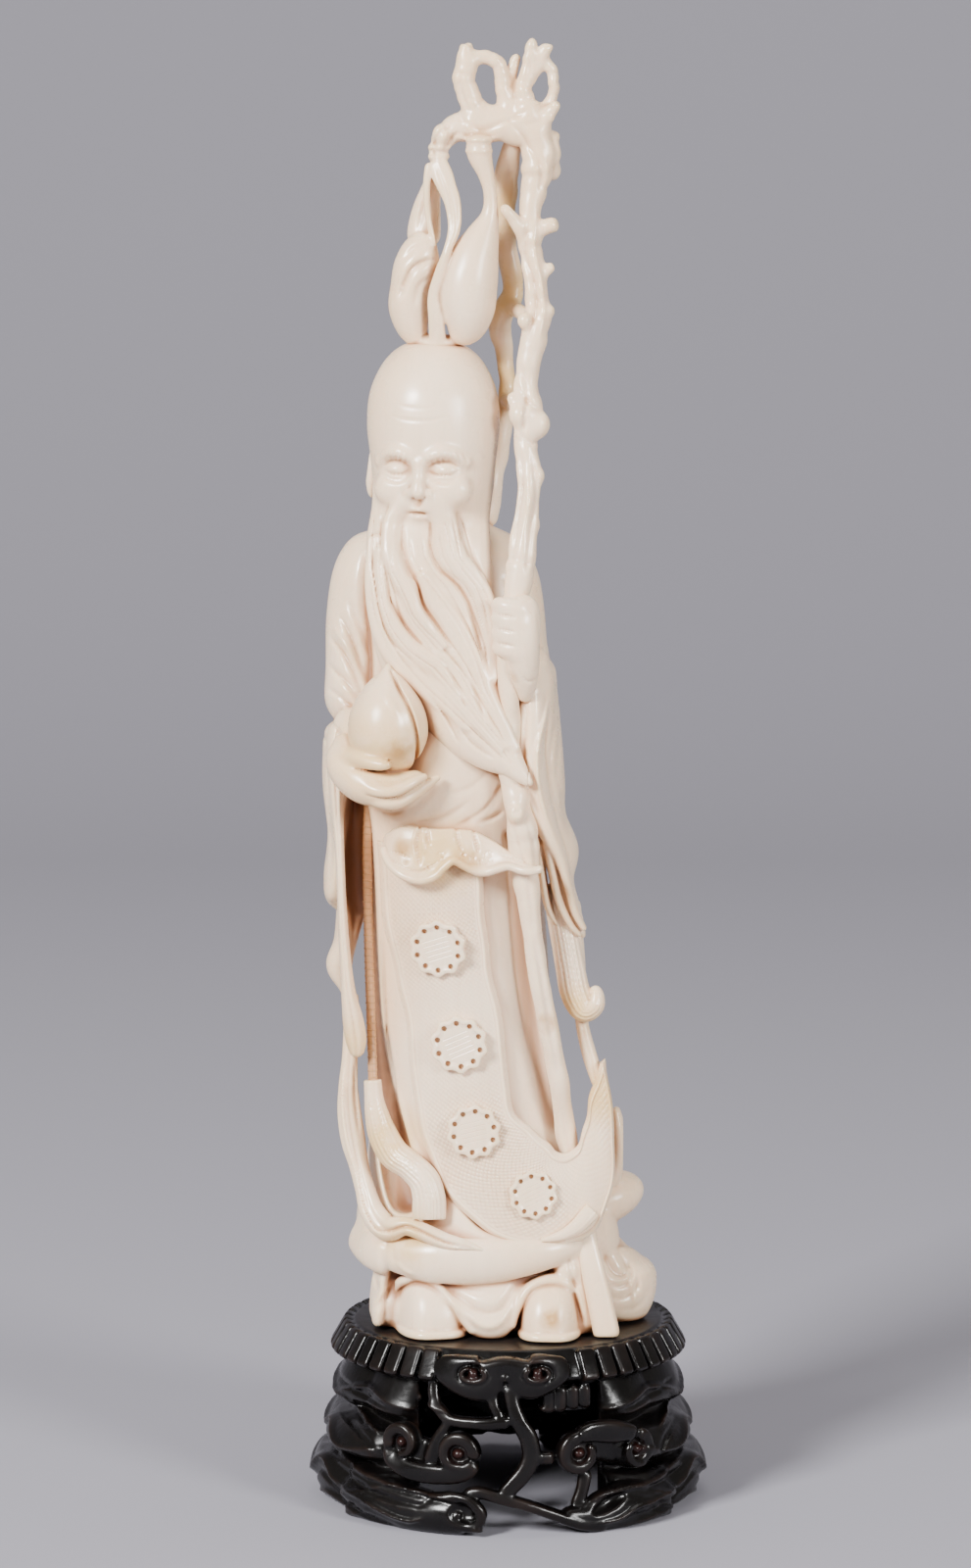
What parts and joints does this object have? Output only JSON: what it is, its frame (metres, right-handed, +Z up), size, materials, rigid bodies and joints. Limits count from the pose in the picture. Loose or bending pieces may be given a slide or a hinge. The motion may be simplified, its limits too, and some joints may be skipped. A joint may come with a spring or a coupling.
{
  "type": "carved figure on a stand",
  "caption": "Standing robed sage with a tall head, long beard, gourd staff and peach, carved in ivory, on a round openwork stand of dark wood.",
  "frame": {"origin": "on the ground, under the middle of the round stand", "axes": "+Z up along the figure's height, -Y is the way the figure faces, +X is the side of the hand with the staff"},
  "size_m": [0.0854, 0.0828, 0.3194],
  "materials": {
    "ivory": "warm cream ivory, polished to a soft sheen, amber in the hollows",
    "dark_wood": "black-brown lacquered hardwood, glossy, worn to brown on edges"
  },
  "bodies": {
    "root": {"ivory_figure": "ivory", "wooden_stand": "dark_wood"}
  },
  "joints": []
}
